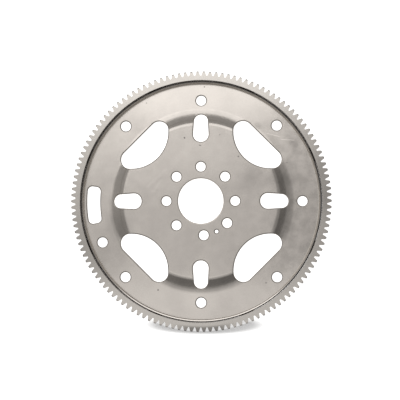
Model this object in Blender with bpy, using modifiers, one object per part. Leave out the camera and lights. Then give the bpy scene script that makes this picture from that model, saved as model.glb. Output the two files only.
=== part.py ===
# Flexplate: a pressed sheet steel disc with a toothed ring welded round its rim.
# It lies face up on its flat channel. Metres, +Z up, origin on the bore axis at floor level.

import math

import bmesh
import bpy
from mathutils import Matrix

MM = 0.001

# Sheet of the disc, and its bends, each by the radius on its hollow side
SHEET = 2.7 * MM
CROWN_BEND = 7.5 * MM
FOOT_BEND = 24.0 * MM
RIM_BEND = 2.5 * MM

# Raised plateau in the middle of the disc
BORE_RADIUS = 28.9 * MM
PLATEAU_FLAT_RADIUS = 97.5 * MM
PLATEAU_RISE = 8.5 * MM
SLOPE_DEGREES = 38.5
DISC_STEPS = 72

# Toothed ring. The tooth proportions are in modules, its widths in shares of the pitch.
TOOTH_COUNT = 130
PITCH_RADIUS = 165.1 * MM
TOOTH_ADDENDUM = 0.83
TOOTH_DEDENDUM = 1.42
TOOTH_FOOT_RISE = 0.39
TOOTH_TIP_SHARE = 0.29
TOOTH_FOOT_SHARE = 0.74
TOOTH_LEAD_IN = 1.3 * MM
RING_BACKING = 6.3 * MM
RING_WIDTH = 10.0 * MM
RING_LIFT = 2.0 * MM
RING_BORE_BREAK = 0.7 * MM

# Upturned rim inside the ring. Its slanted outer edge leaves a groove beside the ring.
RIM_FIT = 0.3 * MM
RIM_DROP = 1.2 * MM
RIM_EDGE_BREAK = 0.3 * MM
RIM_SLANT_WIDTH = 2.2 * MM
RIM_SLANT_DEPTH = 2.8 * MM

# Bolt circle round the bore. Two holes are off the even spacing, so it fits one way only.
BOLT_CIRCLE_RADIUS = 44.1 * MM
BOLT_HOLE_RADIUS = 6.7 * MM
BOLT_ANGLES = (0.0, 45.0, 90.0, 135.0, 180.0, 225.0, 275.0, 320.0)
LOCATING_HOLE_RADIUS = 2.8 * MM
LOCATING_HOLE_ANGLE = 297.4

# Round holes in the channel, each circle by its distance inside the rim bend
OUTER_HOLE_RADIUS = 6.95 * MM
SQUARE_HOLE_INSET = 19.5 * MM
SQUARE_HOLE_ANGLES = (0.0, 90.0, 270.0)
DIAGONAL_HOLE_INSET = 11.9 * MM
DIAGONAL_HOLE_ANGLES = (45.0, 135.0, 202.5, 225.0, 315.0)

# Curved slot in the channel
SLOT_INSET = 1.8 * MM
SLOT_WIDTH = 17.7 * MM
SLOT_LENGTH = 48.6 * MM
SLOT_CORNER = 5.0 * MM
SLOT_ANGLE = 181.8

# Four oval holes across the slope of the plateau
OVAL_ANGLES = (0.0, 90.0, 180.0, 270.0)
OVAL_INNER_END = 75.7 * MM
OVAL_LENGTH = 36.9 * MM
OVAL_OUTER_HALF = 9.4 * MM
OVAL_INNER_HALF = 10.5 * MM
OVAL_INNER_CORNER = 8.2 * MM

# Four windows on the diagonals
WINDOW_ANGLES = (45.0, 135.0, 225.0, 315.0)
WINDOW_INNER_EDGE = 78.4 * MM
WINDOW_DEPTH = 37.2 * MM
WINDOW_HALF_WIDTH = 39.0 * MM
WINDOW_CORNER = 12.7 * MM

# Weld stitches that fill the groove under the rim
WELD_COUNT = 8
WELD_LENGTH = 19.6 * MM
WELD_END_SIZE = 0.6
WELD_START = 22.5
WELD_FIT = 0.3 * MM
WELD_FLOOR_GAP = 0.1 * MM

# How far a cutting tool or a blank goes past what it shapes
CUTTER_SPARE = 3.0 * MM
BLANK_SPARE = 0.3 * MM

MODULE = 2.0 * PITCH_RADIUS / TOOTH_COUNT
TIP_RADIUS = PITCH_RADIUS + TOOTH_ADDENDUM * MODULE
ROOT_RADIUS = PITCH_RADIUS - TOOTH_DEDENDUM * MODULE
RING_BORE_RADIUS = ROOT_RADIUS - RING_BACKING
RING_TOP = RING_LIFT + RING_WIDTH
RIM_OUTER_RADIUS = RING_BORE_RADIUS - RIM_FIT
RIM_INNER_RADIUS = RIM_OUTER_RADIUS - SHEET
RIM_TOP = RING_TOP - RIM_DROP
CHANNEL_EDGE = RIM_INNER_RADIUS - RIM_BEND
CHANNEL_TOP = SHEET
PLATEAU_TOP = CHANNEL_TOP + PLATEAU_RISE


def clear_file():
    for thing in list(bpy.data.objects):
        bpy.data.objects.remove(thing, do_unlink=True)
    for group in list(bpy.data.collections):
        bpy.data.collections.remove(group)


def new_collection(name):
    group = bpy.data.collections.new(name)
    bpy.context.scene.collection.children.link(group)
    return group


def steel(name, color, roughness):
    material = bpy.data.materials.new(name)
    material.use_nodes = True
    shader = material.node_tree.nodes["Principled BSDF"]
    shader.inputs["Base Color"].default_value = (*color, 1.0)
    shader.inputs["Metallic"].default_value = 1.0
    shader.inputs["Roughness"].default_value = roughness
    material.diffuse_color = (*color, 1.0)
    return material


def polar(radius, degrees):
    angle = math.radians(degrees)
    return (radius * math.cos(angle), radius * math.sin(angle))


def arc(center, radius, start, end, steps):
    points = []
    for i in range(steps + 1):
        x, y = polar(radius, start + (end - start) * i / steps)
        points.append((center[0] + x, center[1] + y))
    return points


def foot_end_radius():
    """Where the slope of the plateau has turned into the flat channel."""
    bends = CROWN_BEND + SHEET + FOOT_BEND
    slope = math.radians(SLOPE_DEGREES)
    straight = (PLATEAU_RISE - bends * (1.0 - math.cos(slope))) / math.sin(slope)
    return PLATEAU_FLAT_RADIUS + bends * math.sin(slope) + straight * math.cos(slope)


def sheet_face(depth, foot_steps):
    """One face of the sheet from bore to rim, depth below the face that is seen."""
    crown = (PLATEAU_FLAT_RADIUS, PLATEAU_TOP - SHEET - CROWN_BEND)
    foot = (foot_end_radius(), CHANNEL_TOP + FOOT_BEND)
    rim = (CHANNEL_EDGE, CHANNEL_TOP + RIM_BEND)
    face = [(BORE_RADIUS, PLATEAU_TOP - depth)]
    face += arc(crown, CROWN_BEND + SHEET - depth, 90.0, 90.0 - SLOPE_DEGREES, 3)
    face += arc(foot, FOOT_BEND + depth, 270.0 - SLOPE_DEGREES, 270.0, foot_steps)
    face += arc(rim, RIM_BEND + depth, 270.0, 360.0, 4)
    return face


def disc_profile():
    seen = sheet_face(0.0, 4)
    seen.append((RIM_INNER_RADIUS, RIM_TOP - RIM_EDGE_BREAK))
    seen.append((RIM_INNER_RADIUS + RIM_EDGE_BREAK, RIM_TOP))
    seen.append((RIM_OUTER_RADIUS - RIM_SLANT_WIDTH, RIM_TOP))
    hidden = sheet_face(SHEET, 3)
    hidden.append((RIM_OUTER_RADIUS, RIM_TOP - RIM_SLANT_DEPTH))
    return seen + hidden[::-1]


def ring_profile():
    outer = TIP_RADIUS + BLANK_SPARE
    bevel = TOOTH_LEAD_IN + BLANK_SPARE
    return [
        (RING_BORE_RADIUS, RING_LIFT),
        (RING_BORE_RADIUS, RING_TOP - RING_BORE_BREAK),
        (RING_BORE_RADIUS + RING_BORE_BREAK, RING_TOP),
        (outer - bevel, RING_TOP),
        (outer, RING_TOP - bevel),
        (outer, RING_LIFT),
    ]


def turned(name, profile, steps, phase, group):
    """A closed body made by turning a section about the Z axis."""
    mesh = bpy.data.meshes.new(name)
    edges = [(i, (i + 1) % len(profile)) for i in range(len(profile))]
    mesh.from_pydata([(r, 0.0, z) for r, z in profile], edges, [])
    mesh.transform(Matrix.Rotation(math.radians(phase), 4, "Z"))
    body = bpy.data.objects.new(name, mesh)
    group.objects.link(body)
    screw = body.modifiers.new("Turn", "SCREW")
    screw.axis = "Z"
    screw.angle = math.tau
    screw.steps = steps
    screw.render_steps = steps
    screw.use_merge_vertices = True
    screw.merge_threshold = 0.00001
    return body


def evaluated_mesh(body):
    bpy.context.view_layer.update()
    depsgraph = bpy.context.evaluated_depsgraph_get()
    return bpy.data.meshes.new_from_object(body.evaluated_get(depsgraph))


def mesh_from_curve(outline, group):
    """Puts a closed mesh object in the place of a curve object."""
    name = outline.name
    mesh = evaluated_mesh(outline)
    edit = bmesh.new()
    edit.from_mesh(mesh)
    bmesh.ops.remove_doubles(edit, verts=edit.verts, dist=0.000001)
    edit.to_mesh(mesh)
    edit.free()
    place = outline.matrix_world.copy()
    curve = outline.data
    bpy.data.objects.remove(outline, do_unlink=True)
    bpy.data.curves.remove(curve)
    body = bpy.data.objects.new(name, mesh)
    body.matrix_world = place
    group.objects.link(body)
    return body


def add_line(curve, points, closed):
    spline = curve.splines.new("POLY")
    spline.points.add(len(points) - 1)
    for point, place in zip(spline.points, points):
        point.co = (*place, 1.0)
    spline.use_cyclic_u = closed
    return spline


def flat_body(name, outlines, bottom, top, group):
    """A straight-sided body with the given outlines, from bottom to top."""
    curve = bpy.data.curves.new(name, "CURVE")
    curve.dimensions = "2D"
    curve.fill_mode = "BOTH"
    curve.extrude = (top - bottom) / 2.0
    for points in outlines:
        add_line(curve, [(x, y, 0.0) for x, y in points], True)
    outline = bpy.data.objects.new(name, curve)
    outline.location.z = (top + bottom) / 2.0
    group.objects.link(outline)
    return mesh_from_curve(outline, group)


def round_cutter(name, holes, group):
    """Cylinders for round holes, each given as circle radius, angle, hole radius and sides."""
    edit = bmesh.new()
    depth = PLATEAU_TOP + 2.0 * CUTTER_SPARE
    for circle_radius, degrees, radius, sides in holes:
        x, y = polar(circle_radius, degrees)
        place = Matrix.Translation((x, y, PLATEAU_TOP / 2.0))
        bmesh.ops.create_cone(
            edit, cap_ends=True, segments=sides, radius1=radius, radius2=radius,
            depth=depth, matrix=place)
    mesh = bpy.data.meshes.new(name)
    edit.to_mesh(mesh)
    edit.free()
    body = bpy.data.objects.new(name, mesh)
    group.objects.link(body)
    return body


def combine(body, tool, operation):
    modifier = body.modifiers.new(tool.name, "BOOLEAN")
    modifier.operation = operation
    modifier.solver = "EXACT"
    modifier.object = tool
    tool.hide_render = True
    tool.display_type = "WIRE"


def finish(body, material):
    """Merges flat faces, keeps the result as the body's mesh and shades its bends smooth."""
    merge = body.modifiers.new("Merge flat faces", "DECIMATE")
    merge.decimate_type = "DISSOLVE"
    merge.angle_limit = math.radians(0.1)
    mesh = evaluated_mesh(body)
    mesh.name = body.name
    body.modifiers.clear()
    body.data = mesh
    mesh.shade_smooth()
    mesh.set_sharp_from_angle(angle=math.radians(30.0))
    mesh.materials.append(material)


def spun(outline, angles):
    """Copies of an outline, each turned about the axis."""
    copies = []
    for degrees in angles:
        c, s = polar(1.0, degrees)
        copies.append([(x * c - y * s, x * s + y * c) for x, y in outline])
    return copies


def bolt_holes():
    holes = [(BOLT_CIRCLE_RADIUS, degrees, BOLT_HOLE_RADIUS, 24) for degrees in BOLT_ANGLES]
    holes.append((BOLT_CIRCLE_RADIUS, LOCATING_HOLE_ANGLE, LOCATING_HOLE_RADIUS, 16))
    return holes


def channel_holes():
    square = CHANNEL_EDGE - SQUARE_HOLE_INSET
    diagonal = CHANNEL_EDGE - DIAGONAL_HOLE_INSET
    holes = [(square, degrees, OUTER_HOLE_RADIUS, 24) for degrees in SQUARE_HOLE_ANGLES]
    holes += [(diagonal, degrees, OUTER_HOLE_RADIUS, 24) for degrees in DIAGONAL_HOLE_ANGLES]
    return holes


def slot_outline():
    """The slot about its own middle at +X, a band between two arcs with round corners."""
    outer = CHANNEL_EDGE - SLOT_INSET
    inner = outer - SLOT_WIDTH
    corner = min(SLOT_CORNER, 0.49 * SLOT_WIDTH)
    half_span = math.degrees(SLOT_LENGTH / (outer + inner))
    outer_turn = half_span - math.degrees(corner / (outer - corner))
    inner_turn = half_span - math.degrees(corner / (inner + corner))
    half = arc((0.0, 0.0), outer, 0.0, outer_turn, 2)[:-1]
    half += arc(polar(outer - corner, outer_turn), corner, outer_turn, outer_turn + 90.0, 5)
    half += arc(polar(inner + corner, inner_turn), corner, inner_turn + 90.0, inner_turn + 180.0, 5)
    half += arc((0.0, 0.0), inner, inner_turn, 0.0, 2)[1:]
    return half + [(x, -y) for x, y in half[-2:0:-1]]


def oval_outline():
    """An oval that points outward along +X, a little wider at its inner end."""
    corner = min(OVAL_INNER_CORNER, OVAL_INNER_HALF)
    outer_x = OVAL_INNER_END + OVAL_LENGTH - OVAL_OUTER_HALF
    inner_x = OVAL_INNER_END + corner
    inner_y = OVAL_INNER_HALF - corner
    gap = math.hypot(outer_x - inner_x, inner_y)
    lean = math.degrees(math.asin((OVAL_OUTER_HALF - corner) / gap))
    tilt = math.degrees(math.atan2(inner_y, outer_x - inner_x))
    side = 90.0 + lean - tilt
    outline = arc((outer_x, 0.0), OVAL_OUTER_HALF, -side, side, 12)
    outline += arc((inner_x, inner_y), corner, side, 180.0, 6)
    outline += arc((inner_x, -inner_y), corner, 180.0, 360.0 - side, 6)
    return outline


def window_outline():
    """A window that points outward along +X: straight outer edge, bowed inner edge."""
    corner = min(WINDOW_CORNER, 0.45 * WINDOW_DEPTH)
    reach = WINDOW_DEPTH - corner
    corner_x = WINDOW_INNER_EDGE + reach
    corner_y = WINDOW_HALF_WIDTH - corner
    bow = (reach ** 2 + corner_y ** 2 - corner ** 2) / (2.0 * (reach - corner))
    bow_x = WINDOW_INNER_EDGE + bow
    turn = math.degrees(math.atan2(corner_y, corner_x - bow_x))
    outline = arc((corner_x, corner_y), corner, 0.0, turn, 7)
    outline += arc((bow_x, 0.0), bow, turn, 360.0 - turn, 14)[1:-1]
    outline += arc((corner_x, -corner_y), corner, 360.0 - turn, 360.0, 7)
    return outline


def tooth_outline():
    """The whole toothed edge of the ring, one root and one tooth after another."""
    pitch = 360.0 / TOOTH_COUNT
    width = math.pi * MODULE
    foot_radius = ROOT_RADIUS + TOOTH_FOOT_RISE * MODULE
    foot = math.degrees(TOOTH_FOOT_SHARE * width / 2.0 / foot_radius)
    tip = math.degrees(TOOTH_TIP_SHARE * width / 2.0 / TIP_RADIUS)
    outline = []
    for tooth in range(TOOTH_COUNT):
        middle = tooth * pitch
        outline.append(polar(ROOT_RADIUS, middle - pitch / 2.0))
        outline.append(polar(foot_radius, middle - foot))
        outline.append(polar(TIP_RADIUS, middle - tip))
        outline.append(polar(TIP_RADIUS, middle + tip))
        outline.append(polar(foot_radius, middle + foot))
    return outline


def build_disc(parts, cutters):
    disc = turned("disc", disc_profile(), DISC_STEPS, 0.0, parts)
    low = -CUTTER_SPARE
    high = PLATEAU_TOP + CUTTER_SPARE
    windows = spun(window_outline(), WINDOW_ANGLES)
    ovals = spun(oval_outline(), OVAL_ANGLES)
    slot = spun(slot_outline(), [SLOT_ANGLE])
    combine(disc, flat_body("window_cutter", windows, low, high, cutters), "DIFFERENCE")
    combine(disc, flat_body("oval_cutter", ovals, low, high, cutters), "DIFFERENCE")
    combine(disc, flat_body("slot_cutter", slot, low, high, cutters), "DIFFERENCE")
    combine(disc, round_cutter("bolt_hole_cutter", bolt_holes(), cutters), "DIFFERENCE")
    combine(disc, round_cutter("channel_hole_cutter", channel_holes(), cutters), "DIFFERENCE")
    finish(disc, steel("disc_steel", (0.50, 0.47, 0.45), 0.38))


def build_ring(parts, cutters):
    half_pitch = 180.0 / TOOTH_COUNT
    ring = turned("ring_gear", ring_profile(), TOOTH_COUNT, half_pitch, parts)
    low = RING_LIFT - CUTTER_SPARE
    high = RING_TOP + CUTTER_SPARE
    teeth = flat_body("tooth_outline", [tooth_outline()], low, high, cutters)
    combine(ring, teeth, "INTERSECT")
    finish(ring, steel("ring_steel", (0.47, 0.45, 0.43), 0.42))


def weld_seat():
    """Radius, height and thickness of the bead that fits the groove: it clears the rim bend,
    the lower bore edge of the ring and the floor."""
    bend = RIM_BEND + SHEET
    width = RING_BORE_RADIUS - CHANNEL_EDGE
    under_bend = 2.0 * bend + WELD_FIT - WELD_FLOOR_GAP
    under_ring = RING_LIFT + WELD_FIT - WELD_FLOOR_GAP
    spread = under_bend - under_ring
    full = width ** 2 + under_ring * RING_LIFT
    root = width * math.sqrt(under_bend) - math.sqrt(width ** 2 * under_bend - spread * full)
    size = (root / spread) ** 2
    bead = (size - WELD_FIT - WELD_FLOOR_GAP) / 2.0
    return CHANNEL_EDGE + math.sqrt(under_bend * size), bead + WELD_FLOOR_GAP, bead


def weld_bead(name, group):
    """One bead about +X, thinner at its two ends."""
    radius, height, bead_radius = weld_seat()
    half_span = math.degrees(WELD_LENGTH / 2.0 / radius)
    path = [(x, y, height) for x, y in arc((0.0, 0.0), radius, -half_span, half_span, 4)]
    curve = bpy.data.curves.new(name, "CURVE")
    curve.dimensions = "3D"
    curve.bevel_depth = bead_radius
    curve.bevel_resolution = 2
    curve.use_fill_caps = True
    spline = add_line(curve, path, False)
    spline.points[0].radius = WELD_END_SIZE
    spline.points[-1].radius = WELD_END_SIZE
    bead = bpy.data.objects.new(name, curve)
    group.objects.link(bead)
    bead = mesh_from_curve(bead, group)
    bead.data.shade_smooth()
    bead.data.set_sharp_from_angle(angle=math.radians(50.0))
    bead.data.materials.append(steel("weld_steel", (0.33, 0.31, 0.30), 0.55))
    return bead


def build_welds(parts):
    first = weld_bead("weld_stitch_01", parts)
    first.rotation_euler.z = math.radians(WELD_START)
    for number in range(1, WELD_COUNT):
        bead = bpy.data.objects.new("weld_stitch_%02d" % (number + 1), first.data)
        bead.rotation_euler.z = math.radians(WELD_START + number * 360.0 / WELD_COUNT)
        parts.objects.link(bead)


def main():
    clear_file()
    parts = new_collection("flexplate")
    cutters = new_collection("cutters")
    build_disc(parts, cutters)
    build_ring(parts, cutters)
    build_welds(parts)


main()
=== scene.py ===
import math

import bmesh
import bpy
from mathutils import Matrix, Vector


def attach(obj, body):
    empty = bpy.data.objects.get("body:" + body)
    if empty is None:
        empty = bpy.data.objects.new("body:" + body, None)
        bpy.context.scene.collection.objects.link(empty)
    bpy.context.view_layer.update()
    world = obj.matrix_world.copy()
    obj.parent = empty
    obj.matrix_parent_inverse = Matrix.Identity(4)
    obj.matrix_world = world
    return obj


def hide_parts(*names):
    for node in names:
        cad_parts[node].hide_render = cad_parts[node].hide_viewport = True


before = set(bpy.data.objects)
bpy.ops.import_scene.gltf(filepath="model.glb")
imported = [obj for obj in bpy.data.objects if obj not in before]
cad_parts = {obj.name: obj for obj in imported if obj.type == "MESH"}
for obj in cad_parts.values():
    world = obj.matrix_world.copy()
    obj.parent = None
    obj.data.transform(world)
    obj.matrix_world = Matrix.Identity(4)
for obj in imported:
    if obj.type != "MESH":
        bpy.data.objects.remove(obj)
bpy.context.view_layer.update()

mm = 0.001
sharpDegrees = 32.0         # edges that bend more than this stay sharp

# photo: where the bore's axis lies in it, and how the camera stands
shot = {
    "axisPixel": (201.2, 201.4),
    "photoWidth": 400,
    "pixelsPerMm": 0.776,
    "yaw": 3.0,             # degrees, the camera moves towards +X
    "pitch": -3.0,          # degrees, below 0 it moves towards -Y
    "distance": 1800.0,     # mm
    "sensor": 36.0,         # mm
    "clip": (0.1, 200.0),   # metres
}


# small helpers

def polar(radius, degrees):
    angle = math.radians(degrees)
    return (radius * math.cos(angle), radius * math.sin(angle))


def arcPoints(centre, radius, start, end, steps):
    points = []
    for i in range(steps + 1):
        x, y = polar(radius, start + (end - start) * i / steps)
        points.append((centre[0] + x, centre[1] + y))
    return points


def addObject(name, mesh):
    piece = bpy.data.objects.new(name, mesh)
    bpy.context.scene.collection.objects.link(piece)
    return piece


def applyModifiers(piece):
    bpy.context.view_layer.update()
    depsgraph = bpy.context.evaluated_depsgraph_get()
    mesh = bpy.data.meshes.new_from_object(piece.evaluated_get(depsgraph))
    piece.modifiers.clear()
    piece.data = mesh


def turnSection(name, section, steps, phase=0.0):
    # a closed (radius, height) section turned about Z, its first copy at phase degrees
    mesh = bpy.data.meshes.new(name)
    edges = [(i, (i + 1) % len(section)) for i in range(len(section))]
    mesh.from_pydata([(r, 0.0, z) for r, z in section], edges, [])
    mesh.transform(Matrix.Rotation(math.radians(phase), 4, "Z"))
    piece = addObject(name, mesh)
    screw = piece.modifiers.new("turn", "SCREW")
    screw.axis = "Z"
    screw.angle = math.tau
    screw.steps = steps
    screw.render_steps = steps
    screw.use_merge_vertices = True
    screw.merge_threshold = 0.0001
    applyModifiers(piece)
    return piece


def loftInto(edit, sections):
    # sections are (outline, height), lowest first; the outlines have like points and run anticlockwise
    rings = []
    for outline, z in sections:
        rings.append([edit.verts.new((x, y, z)) for x, y in outline])
    for lower, upper in zip(rings, rings[1:]):
        for i in range(len(lower)):
            j = (i + 1) % len(lower)
            edit.faces.new((lower[i], lower[j], upper[j], upper[i]))
    edit.faces.new(rings[0][::-1])
    edit.faces.new(rings[-1])


def cutAway(piece, tool, operation="DIFFERENCE"):
    # new faces take the tool's material, and the tool is used up
    cut = piece.modifiers.new(tool.name, "BOOLEAN")
    cut.operation = operation
    cut.solver = "EXACT"
    cut.object = tool
    cut.material_mode = "TRANSFER"
    applyModifiers(piece)
    bpy.data.objects.remove(tool, do_unlink=True)


def finishShape(piece):
    piece.data.transform(Matrix.Scale(mm, 4))
    piece.data.shade_smooth()
    piece.data.set_sharp_from_angle(angle=math.radians(sharpDegrees))
    weighted = piece.modifiers.new("even flats", "WEIGHTED_NORMAL")
    weighted.keep_sharp = True
    weighted.weight = 80


# node helpers

def newMaterial(name):
    material = bpy.data.materials.new(name)
    material.use_nodes = True
    tree = material.node_tree
    shader = tree.nodes["Principled BSDF"]
    return material, tree, shader


def addNode(tree, kind, **settings):
    node = tree.nodes.new(kind)
    for key, value in settings.items():
        setattr(node, key, value)
    return node


def plug(tree, source, target):
    if hasattr(source, "links"):
        tree.links.new(source, target)
    else:
        target.default_value = source


def mathNode(tree, operation, a, b=0.0):
    node = addNode(tree, "ShaderNodeMath", operation=operation)
    plug(tree, a, node.inputs[0])
    plug(tree, b, node.inputs[1])
    return node.outputs[0]


def ramp(tree, value, low, high, toLow=0.0, toHigh=1.0):
    # a smooth step from toLow to toHigh as value goes from low to high
    node = addNode(tree, "ShaderNodeMapRange", interpolation_type="SMOOTHSTEP")
    plug(tree, value, node.inputs["Value"])
    node.inputs["From Min"].default_value = low
    node.inputs["From Max"].default_value = high
    node.inputs["To Min"].default_value = toLow
    node.inputs["To Max"].default_value = toHigh
    return node.outputs["Result"]


def millimetres(tree):
    coordinates = addNode(tree, "ShaderNodeTexCoord")
    scale = addNode(tree, "ShaderNodeVectorMath", operation="SCALE")
    tree.links.new(coordinates.outputs["Object"], scale.inputs[0])
    scale.inputs["Scale"].default_value = 1000.0
    return scale.outputs["Vector"]


def placed(tree, position, middle, scale):
    # position seen from middle, with a pattern drawn out along each axis by its scale
    node = addNode(tree, "ShaderNodeMapping", vector_type="TEXTURE")
    tree.links.new(position, node.inputs["Vector"])
    node.inputs["Location"].default_value = middle
    node.inputs["Scale"].default_value = scale
    return node.outputs["Vector"]


def noise(tree, position, size, detail=2.0, roughness=0.5):
    node = addNode(tree, "ShaderNodeTexNoise")
    tree.links.new(position, node.inputs["Vector"])
    node.inputs["Scale"].default_value = 1.0 / size
    node.inputs["Detail"].default_value = detail
    node.inputs["Roughness"].default_value = roughness
    return node.outputs["Fac"]


def spread(tree, value, low, high):
    # a noise, most of which lies between 0.3 and 0.7, spread from low to high
    return ramp(tree, value, 0.3, 0.7, low, high)


def lean(tree, radius, inner, outer, degrees):
    # height in mm of a face that leans outwards a little between two radii
    node = addNode(tree, "ShaderNodeMapRange")
    tree.links.new(radius, node.inputs["Value"])
    node.inputs["From Min"].default_value = inner
    node.inputs["From Max"].default_value = outer
    node.inputs["To Min"].default_value = 0.0
    node.inputs["To Max"].default_value = -(outer - inner) * math.tan(math.radians(degrees))
    return node.outputs["Result"]


def distanceFrom(tree, position, centre):
    # how far a point lies from centre, seen from above
    flat = addNode(tree, "ShaderNodeVectorMath", operation="MULTIPLY")
    tree.links.new(position, flat.inputs[0])
    flat.inputs[1].default_value = (1.0, 1.0, 0.0)
    away = addNode(tree, "ShaderNodeVectorMath", operation="DISTANCE")
    tree.links.new(flat.outputs["Vector"], away.inputs[0])
    away.inputs[1].default_value = (*centre, 0.0)
    return away.outputs["Value"]


def radiusOf(tree, position):
    return distanceFrom(tree, position, (0.0, 0.0))


def axisOf(tree, position, axis):
    parts = addNode(tree, "ShaderNodeSeparateXYZ")
    tree.links.new(position, parts.inputs[0])
    return parts.outputs[axis]


def spot(tree, position, centre, radius, softness):
    # 1 in a round spot and 0 outside, its edge soft over a share of the radius to each side
    soft = radius * softness
    away = distanceFrom(tree, position, centre)
    return ramp(tree, away, radius - soft, radius + soft, 1.0, 0.0)


def scratch(tree, position, start, end, width):
    # 1 on the line from start to end, seen from above, and 0 from width away; both ends fade
    x0, y0 = start
    x1, y1 = end
    length = math.hypot(x1 - x0, y1 - y0)
    ax, ay = (x1 - x0) / length, (y1 - y0) / length
    along = addNode(tree, "ShaderNodeVectorMath", operation="DOT_PRODUCT")
    across = addNode(tree, "ShaderNodeVectorMath", operation="DOT_PRODUCT")
    tree.links.new(position, along.inputs[0])
    tree.links.new(position, across.inputs[0])
    along.inputs[1].default_value = (ax, ay, 0.0)
    across.inputs[1].default_value = (-ay, ax, 0.0)
    sideways = mathNode(tree, "SUBTRACT", across.outputs["Value"], -ay * x0 + ax * y0)
    sideways = mathNode(tree, "ABSOLUTE", sideways)
    middle = (ax * (x0 + x1) + ay * (y0 + y1)) / 2.0
    lengthways = mathNode(tree, "SUBTRACT", along.outputs["Value"], middle)
    lengthways = mathNode(tree, "ABSOLUTE", lengthways)
    near = ramp(tree, sideways, 0.0, width, 1.0, 0.0)
    inside = ramp(tree, lengthways, length * 0.35, length * 0.5, 1.0, 0.0)
    return mathNode(tree, "MULTIPLY", near, inside)


def sumOf(tree, values):
    total = values[0]
    for value in values[1:]:
        total = mathNode(tree, "ADD", total, value)
    return total


def addMarks(tree, tone, marks, change):
    # change is what a whole mark adds to the tone
    return mathNode(tree, "ADD", tone, mathNode(tree, "MULTIPLY", sumOf(tree, marks), change))


def addPatches(tree, position, tone, patches, softness):
    for middle, reach, change in patches:
        tone = addMarks(tree, tone, [spot(tree, position, middle, reach, softness)], change)
    return tone


def bump(tree, height, shader, distance, previous=None):
    # distance is in metres; the bump before this one shows through it
    node = addNode(tree, "ShaderNodeBump")
    node.inputs["Strength"].default_value = 1.0
    node.inputs["Distance"].default_value = distance
    tree.links.new(height, node.inputs["Height"])
    if previous is not None:
        tree.links.new(previous.outputs["Normal"], node.inputs["Normal"])
    tree.links.new(node.outputs["Normal"], shader.inputs["Normal"])
    return node


def shade(tree, color, factor):
    # multiplies a plain colour by a number that varies over the surface
    node = addNode(tree, "ShaderNodeVectorMath", operation="SCALE")
    node.inputs[0].default_value = color
    plug(tree, factor, node.inputs["Scale"])
    return node.outputs["Vector"]


def blend(tree, share, first, second):
    # the first colour where share is 0, the second where it is 1
    node = addNode(tree, "ShaderNodeMix", data_type="RGBA")
    tree.links.new(share, node.inputs["Factor"])
    tree.links.new(first, node.inputs["A"])
    node.inputs["B"].default_value = (*second, 1.0)
    return node.outputs["Result"]


def linedSteel(name, look):
    # steel with the fine lines that a punch or a cutter leaves
    material, tree, shader = newMaterial(name)
    shader.inputs["Metallic"].default_value = 1.0
    lines = noise(tree, placed(tree, millimetres(tree), (0.0, 0.0, 0.0), look["lines"]), 1.0)
    tone = spread(tree, lines, *look["tones"])
    tree.links.new(shade(tree, look["color"], tone), shader.inputs["Base Color"])
    shader.inputs["Roughness"].default_value = look["roughness"]
    bump(tree, lines, shader, look["depth"])
    return material


# pressed disc

discShape = {
    "sheet": 2.7,
    "boreRadius": 28.9,
    "flatRadius": 97.5,
    "rise": 8.5,
    "slopeDegrees": 38.5,
    "crownBend": 7.5,
    "footBend": 24.0,
    "rimBend": 1.7,
    "rimInner": 152.193,
    "rimTop": 10.8,
    "rimSlantWidth": 1.2,
    "rimSlantDepth": 2.8,
    "rimEdge": 0.25,
    "rimDish": 0.55,        # how much lower the rim's inner edge is
    "rimCrest": ((-0.1, -0.02), (0.05, -0.03), (0.2, -0.25)),   # points round the slant's upper end
    "edgeRoll": 1.6,        # rounded upper edge of each pierced hole
    "edgeInset": 0.6,       # how far the hole's wall stands inside its upper edge
    "edgeBreak": 0.15,      # broken lower edge
    "plateauRadii": (42.0, 56.0, 70.0, 85.0, 93.0),     # rings of points on the flats
    "channelRadii": (128.0, 137.0, 145.0),
    "edgeSteps": 6,
    "crownSteps": 8,
    "footSteps": 12,
    "rimSteps": 12,
    "rimEdgeSteps": 5,
    "turnSteps": 288,
}
punchShape = {
    "lead": 0.6,            # how far a punch reaches below the sheet
    "flare": 0.3,           # and above the edge that it rounds
    "steepest": 70.0,       # where its rounding ends, in degrees
    "steps": 5,
}
discHoles = {
    "boltCircle": 44.1,
    "boltRadius": 6.7,
    "boltAngles": (0.0, 45.0, 90.0, 135.0, 180.0, 225.0, 275.0, 320.0),
    "locatingRadius": 2.8,
    "locatingAngle": 297.4,
    "channelRadius": 6.95,
    "squareInset": 20.3,
    "squareAngles": (0.0, 90.0, 270.0),
    "diagonalInset": 12.7,
    "diagonalAngles": (45.0, 135.0, 202.5, 225.0, 315.0),
    "holeSteps": 56,
}
slotShape = {
    "inset": 2.6,
    "width": 17.7,
    "length": 48.6,
    "corner": 6.4,
    "angle": 181.8,
    "sideSteps": 8,
    "cornerSteps": 10,
}
ovalShape = {
    "innerEnd": 75.7,
    "length": 36.9,
    "outerHalf": 9.4,
    "innerHalf": 10.5,
    "innerCorner": 10.2,
    "angles": (0.0, 90.0, 180.0, 270.0),
    "outerSteps": 26,
    "cornerSteps": 14,
}
windowShape = {
    "innerEdge": 78.4,
    "depth": 37.2,
    "halfWidth": 39.0,
    "corner": 12.7,
    "angles": (45.0, 135.0, 225.0, 315.0),
    "cornerSteps": 16,
    "bowSteps": 40,
}

sheet = discShape["sheet"]
channelEdge = discShape["rimInner"] - discShape["rimBend"]
plateauTop = sheet + discShape["rise"]
rimOuter = discShape["rimInner"] + sheet


def footEnd():
    # the radius at which the slope has run out into the channel
    bends = discShape["crownBend"] + sheet + discShape["footBend"]
    slope = math.radians(discShape["slopeDegrees"])
    straight = (discShape["rise"] - bends * (1.0 - math.cos(slope))) / math.sin(slope)
    return discShape["flatRadius"] + bends * math.sin(slope) + straight * math.cos(slope)


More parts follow.
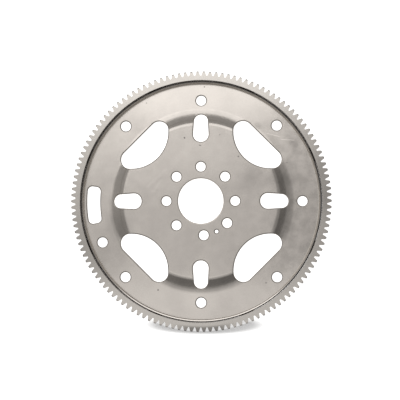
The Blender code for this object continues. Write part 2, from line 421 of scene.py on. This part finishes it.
def faceHeight(r, depth):
    # height of the pressed sheet's upper face, or of its lower one where depth is the sheet's thickness
    slope = math.radians(discShape["slopeDegrees"])
    crown = discShape["crownBend"] + sheet - depth
    foot = discShape["footBend"] + depth
    crownZ = plateauTop - sheet - discShape["crownBend"]
    footZ = sheet + discShape["footBend"]
    crownR = discShape["flatRadius"]
    footR = footEnd()
    if r <= crownR:
        return plateauTop - depth
    if r < crownR + crown * math.sin(slope):
        return crownZ + math.sqrt(crown ** 2 - (r - crownR) ** 2)
    if r < footR - foot * math.sin(slope):
        below = (r - crownR - crown * math.sin(slope)) * math.tan(slope)
        return crownZ + crown * math.cos(slope) - below
    if r < footR:
        return footZ - math.sqrt(foot ** 2 - (footR - r) ** 2)
    return sheet - depth


def bendRadii(depth):
    # radii at which the blank has points, closer where it will be bent
    s = discShape
    slope = math.radians(s["slopeDegrees"])
    crown = s["crownBend"] + sheet - depth
    foot = s["footBend"] + depth
    steps = s["crownSteps"]
    radii = list(s["plateauRadii"])
    radii += [s["flatRadius"] + crown * math.sin(slope * i / steps) for i in range(steps + 1)]
    steps = s["footSteps"]
    radii += [footEnd() - foot * math.sin(slope * (steps - i) / steps) for i in range(steps + 1)]
    radii += s["channelRadii"]
    return radii


def blankSection():
    # the blank with its rim turned up, before the plateau is pressed
    s = discShape
    roll = s["edgeRoll"]
    edge = s["rimEdge"]
    low = s["edgeBreak"]
    rim = (channelEdge, sheet + s["rimBend"])
    section = arcPoints((s["boreRadius"] + roll, sheet - roll), roll, 180.0, 90.0, s["edgeSteps"])
    section += [(r, sheet) for r in bendRadii(0.0)]
    section += arcPoints(rim, s["rimBend"], 270.0, 360.0, s["rimSteps"])
    dishZ = s["rimTop"] - s["rimDish"]
    section += arcPoints((s["rimInner"] + edge, dishZ - edge), edge, 180.0, 115.0, s["rimEdgeSteps"])
    slantTop = rimOuter - s["rimSlantWidth"]
    section += [(slantTop + outwards, s["rimTop"] + up) for outwards, up in s["rimCrest"]]
    section += [(rimOuter, s["rimTop"] - s["rimSlantDepth"])]
    section += arcPoints(rim, s["rimBend"] + sheet, 360.0, 270.0, s["rimSteps"])
    section += [(r, 0.0) for r in reversed(bendRadii(sheet))]
    section += [(s["boreRadius"] + low, 0.0), (s["boreRadius"], low)]
    return section


# outlines of the holes, larger all round by grow; the shaped ones lie about +X

def roundOutline(circle, degrees, radius, grow):
    return arcPoints(polar(circle, degrees), radius + grow, 0.0, 360.0, discHoles["holeSteps"])[:-1]


def slotOutline(grow):
    s = slotShape
    outer = channelEdge - s["inset"]
    inner = outer - s["width"]
    corner = s["corner"]
    halfSpan = math.degrees(s["length"] / (outer + inner))
    outerTurn = halfSpan - math.degrees(corner / (outer - corner))
    innerTurn = halfSpan - math.degrees(corner / (inner + corner))
    outerCorner = polar(outer - corner, outerTurn)
    innerCorner = polar(inner + corner, innerTurn)
    reach = corner + grow
    steps = s["cornerSteps"]
    half = arcPoints((0.0, 0.0), outer + grow, 0.0, outerTurn, s["sideSteps"])[:-1]
    half += arcPoints(outerCorner, reach, outerTurn, outerTurn + 90.0, steps)
    half += arcPoints(innerCorner, reach, innerTurn + 90.0, innerTurn + 180.0, steps)
    half += arcPoints((0.0, 0.0), inner - grow, innerTurn, 0.0, s["sideSteps"])[1:]
    return half + [(x, -y) for x, y in half[-2:0:-1]]


def ovalOutline(grow):
    s = ovalShape
    corner = s["innerCorner"]
    outerX = s["innerEnd"] + s["length"] - s["outerHalf"]
    innerX = s["innerEnd"] + corner
    innerY = s["innerHalf"] - corner
    gap = math.hypot(outerX - innerX, innerY)
    taper = math.degrees(math.asin((s["outerHalf"] - corner) / gap))
    side = 90.0 + taper - math.degrees(math.atan2(innerY, outerX - innerX))
    steps = s["cornerSteps"]
    outline = arcPoints((outerX, 0.0), s["outerHalf"] + grow, -side, side, s["outerSteps"])
    outline += arcPoints((innerX, innerY), corner + grow, side, 180.0, steps)
    outline += arcPoints((innerX, -innerY), corner + grow, 180.0, 360.0 - side, steps)
    return outline


def windowOutline(grow):
    s = windowShape
    corner = s["corner"]
    reach = s["depth"] - corner
    cornerX = s["innerEdge"] + reach
    cornerY = s["halfWidth"] - corner
    bow = (reach ** 2 + cornerY ** 2 - corner ** 2) / (2.0 * (reach - corner))
    bowX = s["innerEdge"] + bow
    turn = math.degrees(math.atan2(cornerY, cornerX - bowX))
    steps = s["cornerSteps"]
    outline = arcPoints((cornerX, cornerY), corner + grow, 0.0, turn, steps)
    outline += arcPoints((bowX, 0.0), bow + grow, turn, 360.0 - turn, s["bowSteps"])[1:-1]
    outline += arcPoints((cornerX, -cornerY), corner + grow, 360.0 - turn, 360.0, steps)
    return outline


def turnedOutline(outline, degrees):
    c, s = polar(1.0, degrees)
    return [(x * c - y * s, x * s + y * c) for x, y in outline]


def punchLevels():
    # (grow, height) up a punch's side: broken lower edge, straight wall, rounded upper edge and flare
    roll = discShape["edgeRoll"]
    low = discShape["edgeBreak"]
    wall = -discShape["edgeInset"]
    lead = punchShape["lead"]
    flare = punchShape["flare"]
    steepest = punchShape["steepest"]
    steps = punchShape["steps"]
    levels = [(wall + low + lead, -lead), (wall, low)]
    for i in range(steps + 1):
        angle = math.radians(steepest * i / steps)
        grow = wall + roll * (1.0 - math.cos(angle))
        levels.append((grow, sheet - roll * (1.0 - math.sin(angle))))
    grow, z = levels[-1]
    levels.append((grow + flare * math.tan(math.radians(steepest)), z + flare))
    return levels


def makePunches(edgeMaterial):
    edit = bmesh.new()
    levels = punchLevels()
    holes = discHoles
    square = channelEdge - holes["squareInset"]
    diagonal = channelEdge - holes["diagonalInset"]
    rounds = [(holes["boltCircle"], a, holes["boltRadius"]) for a in holes["boltAngles"]]
    rounds.append((holes["boltCircle"], holes["locatingAngle"], holes["locatingRadius"]))
    rounds += [(square, a, holes["channelRadius"]) for a in holes["squareAngles"]]
    rounds += [(diagonal, a, holes["channelRadius"]) for a in holes["diagonalAngles"]]
    for circle, degrees, radius in rounds:
        loftInto(edit, [(roundOutline(circle, degrees, radius, grow), z) for grow, z in levels])
    shaped = [(slotOutline, (slotShape["angle"],))]
    shaped += [(ovalOutline, ovalShape["angles"]), (windowOutline, windowShape["angles"])]
    for outline, angles in shaped:
        for degrees in angles:
            loftInto(edit, [(turnedOutline(outline(grow), degrees), z) for grow, z in levels])
    mesh = bpy.data.meshes.new("punches")
    edit.to_mesh(mesh)
    edit.free()
    mesh.materials.append(edgeMaterial)
    return addObject("punches", mesh)


def pressSheet(mesh):
    # lifts the plateau out of the flat blank, each point by its radius
    limit = footEnd()
    for vertex in mesh.vertices:
        r = math.hypot(vertex.co.x, vertex.co.y)
        if r < limit:
            bottom = faceHeight(r, sheet)
            top = faceHeight(r, 0.0)
            vertex.co.z = bottom + (top - bottom) * vertex.co.z / sheet


# tones are shares of the plain colour, lengths are in mm and depths of relief in metres
discLook = {
    "color": (0.551, 0.513, 0.475),
    "roughness": 0.22,
    "roughnessSpread": 0.02,
    "lean": (112.0, 150.5, 2.0),            # from radius, to radius, degrees
    "cloud": (45.0, 0.04),                  # size, change of tone
    "grain": (1.6, 0.012),
    "mottle": (11.0, 3.0, 0.55),            # size, detail, roughness of the noise
    "mottleTone": (60.0, 120.0, 0.03, 0.085),   # grows from one tone to the other along X
    "mottleDepth": 0.00004,
    "scratches": (((83.3, 87.7), (102.4, 82.8)), ((101.0, 79.6), (122.0, 78.1))),
    "scratchWidth": 0.45,
    "scratchTone": 0.5,
    "rubs": (((-71.0, 16.0), (-42.0, 43.0)), ((-62.0, 10.0), (-50.0, 29.0))),
    "rubWidth": 3.5,
    "rubTone": 0.06,
    "specks": (((-20.9, 81.2), 0.9), ((48.3, 57.0), 0.8), ((4.3, 148.0), 0.8), ((-70.8, 127.5), 0.6),
               ((24.4, 85.0), 0.5), ((-55.3, -113.9), 0.9), ((83.2, -104.8), 0.7), ((110.5, 49.7), 0.6)),
    "speckSoftness": 0.6,
    "speckTone": -0.75,
    # darker and lighter patches of tone; those on the right slope and plateau are painted shade: middle,
    # radius, change of tone
    "patches": (((73.0, 97.0), 4.5, -0.18), ((119.0, 73.0), 7.0, -0.13), ((92.0, 62.0), 6.0, -0.10),
                ((66.0, 28.0), 15.0, -0.13), ((-118.0, -74.0), 24.0, -0.14), ((105.0, 26.0), 15.0, -0.17),
                ((105.0, -26.0), 15.0, -0.12), ((-104.0, -30.0), 17.0, -0.17), ((0.0, -119.0), 20.0, 0.10)),
    "patchSoftness": 0.7,
    "nick": ((-2.6, 72.2), (0.8, 70.9)),
    "nickWidth": 0.9,
    "cornerShadeShare": 0.85,                  # painted shade in the rim's corner on the upper side, a matt pale brown in place of bright metal
    "cornerShadeRadii": (150.6, 151.5),
    "cornerShadeColor": (0.60, 0.54, 0.47),
    "rimShadeTone": 0.34,                    # the rim's end darkened as painted shade
    "rimRadii": (151.8, 153.1),
    "lipHighlightTone": 1.25,                    # and its tone at the bottom, a painted highlight
    "lipHeights": (-132.0, -98.0),      # where the painted highlight at the bottom ends and the painted shade begins, along Y
    # painted shade: the dark brown of the gap between the rim and the ring
    "grooveRadii": (153.5, 154.0),
    "grooveShadeColor": (0.175, 0.125, 0.085),
}
# the pierced edges' darker steel: partly their own cut finish, partly painted shade that outlines each hole
# in dark
edgeLook = {
    "color": (0.32, 0.295, 0.27),
    "roughness": 0.3,
    "lines": (0.5, 0.5, 6.0),           # how far they are drawn out along each axis
    "tones": (0.85, 1.15),
    "depth": 0.00003,
}


def sheetSteel():
    look = discLook
    material, tree, shader = newMaterial("satinSheetSteel")
    position = millimetres(tree)
    radius = radiusOf(tree, position)
    cloudSize, cloudTone = look["cloud"]
    grainSize, grainTone = look["grain"]
    cloud = noise(tree, position, cloudSize)
    mottle = noise(tree, position, *look["mottle"])
    grain = noise(tree, position, grainSize)
    mottleTone = ramp(tree, axisOf(tree, position, "X"), *look["mottleTone"])
    tone = sumOf(tree, [
        spread(tree, cloud, -cloudTone, cloudTone),
        mathNode(tree, "MULTIPLY", spread(tree, mottle, -1.0, 1.0), mottleTone),
        spread(tree, grain, -grainTone, grainTone),
        1.0,
    ])
    marks = [scratch(tree, position, a, b, look["scratchWidth"]) for a, b in look["scratches"]]
    tone = addMarks(tree, tone, marks, look["scratchTone"])
    marks = [scratch(tree, position, a, b, look["rubWidth"]) for a, b in look["rubs"]]
    tone = addMarks(tree, tone, marks, look["rubTone"])
    marks = [spot(tree, position, c, r, look["speckSoftness"]) for c, r in look["specks"]]
    marks.append(scratch(tree, position, *look["nick"], look["nickWidth"]))
    tone = addMarks(tree, tone, marks, look["speckTone"])
    # patches of tone, some of them painted shade
    tone = addPatches(tree, position, tone, look["patches"], look["patchSoftness"])
    # the rim's end is darkened as painted shade but for a painted highlight on the lip at the bottom, and
    # the painted shade in the corner stops short of it
    upper = ramp(tree, axisOf(tree, position, "Y"), *look["lipHeights"])
    onRim = ramp(tree, radius, *look["rimRadii"])
    endTone = ramp(tree, upper, 0.0, 1.0, look["lipHighlightTone"], look["rimShadeTone"])
    change = mathNode(tree, "MULTIPLY", onRim, mathNode(tree, "SUBTRACT", endTone, 1.0))
    tone = mathNode(tree, "MULTIPLY", tone, mathNode(tree, "ADD", change, 1.0))
    # painted shade in the rim's corner, only on the upper side: a matt pale brown that takes the place of
    # the metal there
    cornerShade = ramp(tree, radius, *look["cornerShadeRadii"], 0.0, look["cornerShadeShare"])
    cornerShade = mathNode(tree, "MULTIPLY", cornerShade, upper)
    cornerShade = mathNode(tree, "MULTIPLY", cornerShade, ramp(tree, onRim, 0.0, 1.0, 1.0, 0.0))
    color = blend(tree, cornerShade, shade(tree, look["color"], tone), look["cornerShadeColor"])
    # painted shade: the gap between the rim and the ring is painted dark brown
    groove = ramp(tree, radius, *look["grooveRadii"])
    color = blend(tree, groove, color, look["grooveShadeColor"])
    tree.links.new(color, shader.inputs["Base Color"])
    tree.links.new(mathNode(tree, "SUBTRACT", 1.0, cornerShade), shader.inputs["Metallic"])
    change = spread(tree, mottle, -look["roughnessSpread"], look["roughnessSpread"])
    rough = mathNode(tree, "ADD", change, look["roughness"])
    tree.links.new(rough, shader.inputs["Roughness"])
    leaning = bump(tree, lean(tree, radius, *look["lean"]), shader, mm)
    bump(tree, mottle, shader, look["mottleDepth"], leaning)
    return material


def makeDisc():
    disc = turnSection("pressed_disc", blankSection(), discShape["turnSteps"])
    disc.data.materials.append(sheetSteel())
    # the pierced edges take a darker steel, partly painted shade
    cutAway(disc, makePunches(linedSteel("piercedEdgeSteel", edgeLook)))
    pressSheet(disc.data)
    finishShape(disc)
    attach(disc, "root")
    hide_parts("disc")
    print("disc: pressed and pierced,", len(disc.data.polygons), "faces")


# toothed ring

ringShape = {
    "teeth": 130,
    "pitchRadius": 165.1,
    "addendum": 0.8295,     # this, the dedendum and the foot's rise in modules
    "dedendum": 1.42,
    "footRise": 0.39,
    "toothShare": 0.49,     # how much of the pitch circle is tooth
    "pressureAngle": 20.0,
    "tipRound": 0.32,
    "leadIn": 1.3,
    "boreRadius": 155.193,
    "boreBreak": 0.7,
    "boreEdge": 0.3,        # bevel at the lower end of the bore
    "faceStart": 3.0,       # how far outside the bore the face has its first ring of points
    "bottom": 2.0,
    "top": 12.0,
    "spare": 0.3,           # how much larger the turned ring is before the teeth are cut
    "cutterReach": 2.0,     # how far the cutter passes both faces
    "rootSteps": 5,
    "flankSteps": 5,
    "tipSteps": 3,
    "breakSteps": 5,
    "turnStepsPerTooth": 4,
}
module = 2.0 * ringShape["pitchRadius"] / ringShape["teeth"]
tipRadius = ringShape["pitchRadius"] + ringShape["addendum"] * module
rootRadius = ringShape["pitchRadius"] - ringShape["dedendum"] * module


def involute(angle):
    return math.tan(angle) - angle


def halfTooth(r):
    # half of the tooth's angle at a radius, on an involute flank, in degrees
    pitchAngle = math.radians(ringShape["pressureAngle"])
    base = ringShape["pitchRadius"] * math.cos(pitchAngle)
    atPitch = math.pi * module * ringShape["toothShare"] / 2.0 / ringShape["pitchRadius"]
    here = math.acos(base / r)
    return math.degrees(atPitch + involute(pitchAngle) - involute(here))


def toothEdge():
    # one side of a tooth, from the middle of the gap beside it to its rounded tip,
    # as (radius, degrees from the tooth's middle)
    s = ringShape
    halfPitch = 180.0 / s["teeth"]
    foot = rootRadius + s["footRise"] * module
    edge = []
    for i in range(s["rootSteps"]):
        angle = math.radians(90.0 * (i / s["rootSteps"]))
        r = foot - (foot - rootRadius) * math.cos(angle)
        edge.append((r, halfPitch - (halfPitch - halfTooth(foot)) * math.sin(angle)))
    flankTop = tipRadius - s["tipRound"]
    for i in range(s["flankSteps"] + 1):
        r = foot + (flankTop - foot) * i / s["flankSteps"]
        edge.append((r, halfTooth(r)))
    last = halfTooth(flankTop)
    roundTurn = math.degrees(s["tipRound"] / tipRadius)
    for i in range(1, s["tipSteps"] + 1):
        angle = math.radians(90.0 * i / s["tipSteps"])
        r = flankTop + s["tipRound"] * math.sin(angle)
        edge.append((r, last - roundTurn * (1.0 - math.cos(angle))))
    return edge


def gearOutline():
    pitch = 360.0 / ringShape["teeth"]
    side = toothEdge()
    outline = []
    for tooth in range(ringShape["teeth"]):
        middle = tooth * pitch
        outline += [polar(r, middle - turn) for r, turn in side]
        outline += [polar(r, middle + turn) for r, turn in side[:0:-1]]
    return outline


def ringSection():
    s = ringShape
    outer = tipRadius + s["spare"]
    bevel = s["leadIn"] + s["spare"]
    bore = s["boreRadius"]
    low = s["boreEdge"]
    edge = s["boreBreak"]
    section = [(bore, s["bottom"] + low)]
    section += arcPoints((bore + edge, s["top"] - edge), edge, 180.0, 90.0, s["breakSteps"])
    section += [(bore + s["faceStart"], s["top"]), (outer - bevel, s["top"])]
    section += [(outer, s["top"] - bevel), (outer, s["bottom"]), (bore + low, s["bottom"])]
    return section


ringLook = {
    "color": (0.515, 0.486, 0.452),
    "roughness": 0.26,
    "roughnessSpread": (-0.03, 0.04),
    "lean": (156.0, 168.0, 2.0),        # from radius, to radius, degrees
    "cloud": (22.0, 0.04),              # size, change of tone
    "mottle": (3.0, 0.02),
    "noiseDetail": 3.0,
    "turnedGloss": 0.4,
    "turnedAngle": 0.25,                # the gloss's direction, as a share of a turn
    "turnedLines": 4.0,                 # lines to a mm
    "turnedDetail": 2.0,
    "turnedDepth": 0.000015,
    "tipTone": 0.5,                     # darker cut bevels at the tips
    "tipDepths": (2.0, 0.8),            # which begin and are full this far below the tips
    "bottomShade": ((4.0, -166.0), 30.0, 0.55),   # painted shade on the lowest teeth: middle, radius, share of darkening
    "bottomShadeRadii": (158.5, 163.0),
    # painted shade, darker stretches at the lower left and the right: middle, radius, change of tone
    "patches": (((-140.0, -66.0), 42.0, -0.16), ((164.0, 26.0), 38.0, -0.16)),
    "softness": 0.5,
    # painted shade at the bore's edge, beside the gap
    "grooveRadii": (155.1, 155.6),
}
toothLook = {
    "color": (0.30, 0.28, 0.265),
    "roughness": 0.32,
    "lines": (4.0, 4.0, 0.25),          # how far they are drawn out along each axis
    "tones": (0.9, 1.1),
    "depth": 0.00002,
}


def ringSteel():
    look = ringLook
    material, tree, shader = newMaterial("turnedRingSteel")
    shader.inputs["Metallic"].default_value = 1.0
    position = millimetres(tree)
    radius = radiusOf(tree, position)
    cloudSize, cloudTone = look["cloud"]
    mottleSize, mottleTone = look["mottle"]
    cloud = noise(tree, position, cloudSize, look["noiseDetail"])
    mottle = noise(tree, position, mottleSize, look["noiseDetail"])
    tone = sumOf(tree, [
        spread(tree, cloud, -cloudTone, cloudTone),
        spread(tree, mottle, -mottleTone, mottleTone),
        1.0,
    ])
    start, end = look["tipDepths"]
    tips = ramp(tree, radius, tipRadius - start, tipRadius - end, 1.0, look["tipTone"])
    tone = mathNode(tree, "MULTIPLY", tone, tips)
    # painted shade, darkening the lowest teeth
    middle, reach, share = look["bottomShade"]
    bottomShade = mathNode(tree, "MULTIPLY", spot(tree, position, middle, reach, look["softness"]), share)
    bottomShade = mathNode(tree, "MULTIPLY", bottomShade, ramp(tree, radius, *look["bottomShadeRadii"]))
    tone = mathNode(tree, "MULTIPLY", tone, mathNode(tree, "SUBTRACT", 1.0, bottomShade))
    # painted shade in darker stretches of the ring
    tone = addPatches(tree, position, tone, look["patches"], look["softness"])
    # painted shade: the ring's bore edge takes the dark brown of the gap
    groove = ramp(tree, radius, *look["grooveRadii"], 1.0, 0.0)
    color = blend(tree, groove, shade(tree, look["color"], tone), discLook["grooveShadeColor"])
    tree.links.new(color, shader.inputs["Base Color"])
    rough = mathNode(tree, "ADD", spread(tree, cloud, *look["roughnessSpread"]), look["roughness"])
    tree.links.new(rough, shader.inputs["Roughness"])
    # the turning tool's lines, with a gloss that runs round the axis
    lines = addNode(tree, "ShaderNodeTexNoise", noise_dimensions="1D")
    tree.links.new(radius, lines.inputs["W"])
    lines.inputs["Scale"].default_value = look["turnedLines"]
    lines.inputs["Detail"].default_value = look["turnedDetail"]
    shader.inputs["Anisotropic"].default_value = look["turnedGloss"]
    shader.inputs["Anisotropic Rotation"].default_value = look["turnedAngle"]
    around = addNode(tree, "ShaderNodeTangent", direction_type="RADIAL", axis="Z")
    tree.links.new(around.outputs["Tangent"], shader.inputs["Tangent"])
    leaning = bump(tree, lean(tree, radius, *look["lean"]), shader, mm)
    bump(tree, lines.outputs["Fac"], shader, look["turnedDepth"], leaning)
    return material


def makeRing():
    s = ringShape
    turnSteps = s["turnStepsPerTooth"] * s["teeth"]
    ring = turnSection("starter_ring", ringSection(), turnSteps, 180.0 / s["teeth"])
    ring.data.materials.append(ringSteel())
    outline = gearOutline()
    low = s["bottom"] - s["cutterReach"]
    high = s["top"] + s["cutterReach"]
    edit = bmesh.new()
    loftInto(edit, [(outline, low), (outline, high)])
    mesh = bpy.data.meshes.new("gear_outline")
    edit.to_mesh(mesh)
    edit.free()
    mesh.materials.append(linedSteel("cutToothSteel", toothLook))
    cutAway(ring, addObject("gear_outline", mesh), "INTERSECT")
    finishShape(ring)
    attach(ring, "root")
    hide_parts("ring_gear")
    print("ring: turned and cut,", len(ring.data.polygons), "faces")


# weld beads

weldShape = {
    "count": 8,
    "length": 19.6,
    "start": 22.5,
    "radius": 154.53,
    "height": 1.0,
    "thickness": 0.9,
    "rippleDepth": 0.09,
    "ripples": 16,
    "rippleBow": 0.35,      # how far a ripple shifts round the bead, in ripples
    "endThickness": 0.38,   # the bead's ends, as a share of its full thickness
    "swell": 0.62,          # and what its middle adds to that
    "swellPower": 8,
    "stepsPerRipple": 6,
    "sides": 20,
}
weldLook = {
    "color": (0.33, 0.31, 0.30),
    "roughness": 0.48,
    "roughnessSpread": (-0.08, 0.1),
    "scaleSize": 1.2,
    "scaleDetail": 3.0,
    "scaleTones": (-0.2, 0.15),
    "scaleDepth": 0.00006,  # metres
    "heatSize": 5.0,
    "heatTones": (0.85, 1.1),
}


def weldSteel():
    look = weldLook
    material, tree, shader = newMaterial("weldBeadSteel")
    shader.inputs["Metallic"].default_value = 1.0
    position = millimetres(tree)
    scale = noise(tree, position, look["scaleSize"], look["scaleDetail"])
    heat = noise(tree, position, look["heatSize"])
    tone = sumOf(tree, [
        spread(tree, scale, *look["scaleTones"]),
        spread(tree, heat, *look["heatTones"]),
    ])
    tree.links.new(shade(tree, look["color"], tone), shader.inputs["Base Color"])
    rough = mathNode(tree, "ADD", spread(tree, scale, *look["roughnessSpread"]), look["roughness"])
    tree.links.new(rough, shader.inputs["Roughness"])
    bump(tree, scale, shader, look["scaleDepth"])
    return material


def weldMesh():
    # a bead about +X with the crescent ripples of its pool, drawn in at both ends
    s = weldShape
    halfSpan = math.degrees(s["length"] / 2.0 / s["radius"])
    steps = s["ripples"] * s["stepsPerRipple"]
    edit = bmesh.new()
    rings = []
    for i in range(steps + 1):
        along = -1.0 + 2.0 * i / steps
        swell = math.sqrt(max(0.0, 1.0 - abs(along) ** s["swellPower"])) * s["swell"]
        ring = []
        for j in range(s["sides"]):
            around = math.tau * j / s["sides"]
            crescent = math.cos(around) * s["rippleBow"]
            phase = (i / s["stepsPerRipple"] + crescent) % 1.0
            size = (s["thickness"] - s["rippleDepth"] * phase) * (swell + s["endThickness"])
            x, y = polar(s["radius"] + size * math.cos(around), along * halfSpan)
            ring.append(edit.verts.new((x, y, s["height"] + size * math.sin(around))))
        rings.append(ring)
    for first, second in zip(rings, rings[1:]):
        for j in range(len(first)):
            k = (j + 1) % len(first)
            edit.faces.new((first[j], first[k], second[k], second[j]))
    edit.faces.new(rings[0][::-1])
    edit.faces.new(rings[-1])
    bmesh.ops.recalc_face_normals(edit, faces=edit.faces)
    mesh = bpy.data.meshes.new("weld_bead")
    edit.to_mesh(mesh)
    edit.free()
    mesh.transform(Matrix.Scale(mm, 4))
    mesh.shade_smooth()
    mesh.materials.append(weldSteel())
    return mesh


def makeWelds():
    bead = weldMesh()
    for number in range(weldShape["count"]):
        name = "weld_stitch_%02d" % (number + 1)
        turn = weldShape["start"] + number * 360.0 / weldShape["count"]
        mesh = bead.copy()
        mesh.transform(Matrix.Rotation(math.radians(turn), 4, "Z"))
        weld = addObject("bead_%02d" % (number + 1), mesh)
        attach(weld, "root")
        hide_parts(name)
    print("welds:", weldShape["count"], "beads")


# studio

studio = {
    "floorRadius": 40.0,    # metres
    "floorGap": 0.00005,    # metres below the part
    "floorSides": 96,
    "floorColor": (0.82, 0.82, 0.82),
    "floorRoughness": 0.9,
    "ownWhite": 0.95,       # the floor's own glow, where 1 is white
    "shadeWhite": 0.25,     # and in the patch below the ring, a painted shadow in which its real shadow also shows
    "gapWhite": 0.55,       # and between the teeth, where that painted shadow is lighter
    "shadeMiddle": (5.0, -159.0, 0.0),
    "shadeReach": (82.0, 12.5, 1.0),
    "shadeFade": (0.7, 1.1),    # shares of that reach
    "gapRadii": (166.0, 168.0),
    "worldAim": (-0.64, 0.77, 0.0),     # the upper left
    "worldRange": (-0.9, 1.0),
    "worldBright": 0.46,    # towards the upper left
    "worldDark": 0.19,      # towards the lower right
    "worldColor": (1.0, 0.985, 0.97),
}
# soft panels that hang level over the part and face down: middle and size in metres,
# and glow, where 1 is white
lamps = {
    "topPanel": {"place": (-0.10, 0.40, 0.5), "size": (0.70, 0.40), "glow": 1.05},
    "topInner": {"place": (-0.10, 0.14, 0.5), "size": (0.70, 0.12), "glow": 0.28},
    "topMiddle": {"place": (-0.15, 0.275, 0.5), "size": (0.40, 0.25), "glow": 0.34},
    "bottomPanel": {"place": (-0.05, -0.285, 0.4), "size": (0.70, 0.33), "glow": 0.32},
    "rightPanel": {"place": (0.39, 0.0, 0.5), "size": (0.62, 0.75), "glow": 0.15},
    "middlePanel": {"place": (0.0, 0.0, 0.8), "size": (0.60, 0.60), "glow": 0.10},
    "leftPanel": {"place": (-0.26, 0.0, 1.2), "size": (0.48, 0.50), "glow": 0.13},
    "leftEdge": {"place": (-0.40, 0.20, 0.5), "size": (0.20, 0.30), "glow": 0.5},
    "ceiling": {"place": (-0.7, 0.0, 2.4), "size": (1.80, 2.00), "glow": 0.296},
}


def paleFloor():
    # a matt floor with a glow of its own, which only the camera, reflections and clear things see
    material, tree, shader = newMaterial("paleFloor")
    shader.inputs["Base Color"].default_value = (*studio["floorColor"], 1.0)
    shader.inputs["Roughness"].default_value = studio["floorRoughness"]
    shader.inputs["Specular IOR Level"].default_value = 0.0
    white = addNode(tree, "ShaderNodeEmission")
    path = addNode(tree, "ShaderNodeLightPath")
    seen = mathNode(tree, "MAXIMUM", path.outputs["Is Camera Ray"], path.outputs["Is Glossy Ray"])
    seen = mathNode(tree, "MAXIMUM", seen, path.outputs["Is Transmission Ray"])
    position = millimetres(tree)
    # the glow drops in a patch below the ring, a painted shadow over which the real shadow also falls, and
    # less between the teeth
    away = radiusOf(tree, placed(tree, position, studio["shadeMiddle"], studio["shadeReach"]))
    glow = ramp(tree, away, *studio["shadeFade"], studio["shadeWhite"], studio["ownWhite"])
    gaps = ramp(tree, radiusOf(tree, position), *studio["gapRadii"], studio["gapWhite"], 0.0)
    glow = mathNode(tree, "MAXIMUM", glow, gaps)
    tree.links.new(mathNode(tree, "MULTIPLY", seen, glow), white.inputs["Strength"])
    both = addNode(tree, "ShaderNodeAddShader")
    tree.links.new(shader.outputs[0], both.inputs[0])
    tree.links.new(white.outputs[0], both.inputs[1])
    output = tree.nodes["Material Output"]
    tree.links.new(both.outputs[0], output.inputs["Surface"])
    return material


def makeFloor():
    mesh = bpy.data.meshes.new("floor")
    edit = bmesh.new()
    radius = studio["floorRadius"]
    bmesh.ops.create_circle(edit, cap_ends=True, radius=radius, segments=studio["floorSides"])
    edit.to_mesh(mesh)
    edit.free()
    mesh.materials.append(paleFloor())
    floor = addObject("floor", mesh)
    floor.location.z = -studio["floorGap"]


def makeLamp(name, settings):
    width, depth = settings["size"]
    lamp = bpy.data.lights.new(name, "AREA")
    lamp.shape = "RECTANGLE"
    lamp.size, lamp.size_y = width, depth
    lamp.energy = math.pi * width * depth * settings["glow"]
    holder = bpy.data.objects.new(name, lamp)
    bpy.context.scene.collection.objects.link(holder)
    holder.location = settings["place"]
    holder.visible_camera = False


def makeWorld():
    # brighter the more a direction turns to the upper left
    world = bpy.data.worlds.new("studio")
    bpy.context.scene.world = world
    world.use_nodes = True
    tree = world.node_tree
    background = tree.nodes["Background"]
    background.inputs["Color"].default_value = (*studio["worldColor"], 1.0)
    coordinates = addNode(tree, "ShaderNodeTexCoord")
    side = addNode(tree, "ShaderNodeVectorMath", operation="DOT_PRODUCT")
    tree.links.new(coordinates.outputs["Generated"], side.inputs[0])
    side.inputs[1].default_value = studio["worldAim"]
    low, high = studio["worldRange"]
    strength = ramp(tree, side.outputs["Value"], low, high, studio["worldDark"], studio["worldBright"])
    tree.links.new(strength, background.inputs["Strength"])


def makeCamera():
    yaw, pitch = math.radians(shot["yaw"]), math.radians(shot["pitch"])
    back = Vector((math.sin(yaw) * math.cos(pitch), math.sin(pitch), math.cos(yaw) * math.cos(pitch)))
    right = Vector((math.cos(yaw), 0.0, -math.sin(yaw)))
    up = back.cross(right)
    middle = shot["photoWidth"] / 2.0
    aside = (shot["axisPixel"][0] - middle) / shot["pixelsPerMm"]
    below = (shot["axisPixel"][1] - middle) / shot["pixelsPerMm"]
    aim = (up * below - right * aside) * mm
    camera = bpy.data.cameras.new("camera")
    camera.sensor_width = shot["sensor"]
    camera.lens = shot["pixelsPerMm"] * shot["distance"] * shot["sensor"] / shot["photoWidth"]
    camera.clip_start, camera.clip_end = shot["clip"]
    holder = bpy.data.objects.new("camera", camera)
    bpy.context.scene.collection.objects.link(holder)
    turn = Matrix((right, up, back)).transposed().to_4x4()
    holder.matrix_world = Matrix.Translation(aim + back * shot["distance"] * mm) @ turn
    bpy.context.scene.camera = holder


makeDisc()
makeRing()
makeWelds()
makeFloor()
for lampName, lampSettings in lamps.items():
    makeLamp(lampName, lampSettings)
makeWorld()
makeCamera()
print("studio: floor,", len(lamps), "lamps, world and camera")

bpy.context.scene.view_settings.view_transform = "Standard"
bpy.context.view_layer.update()
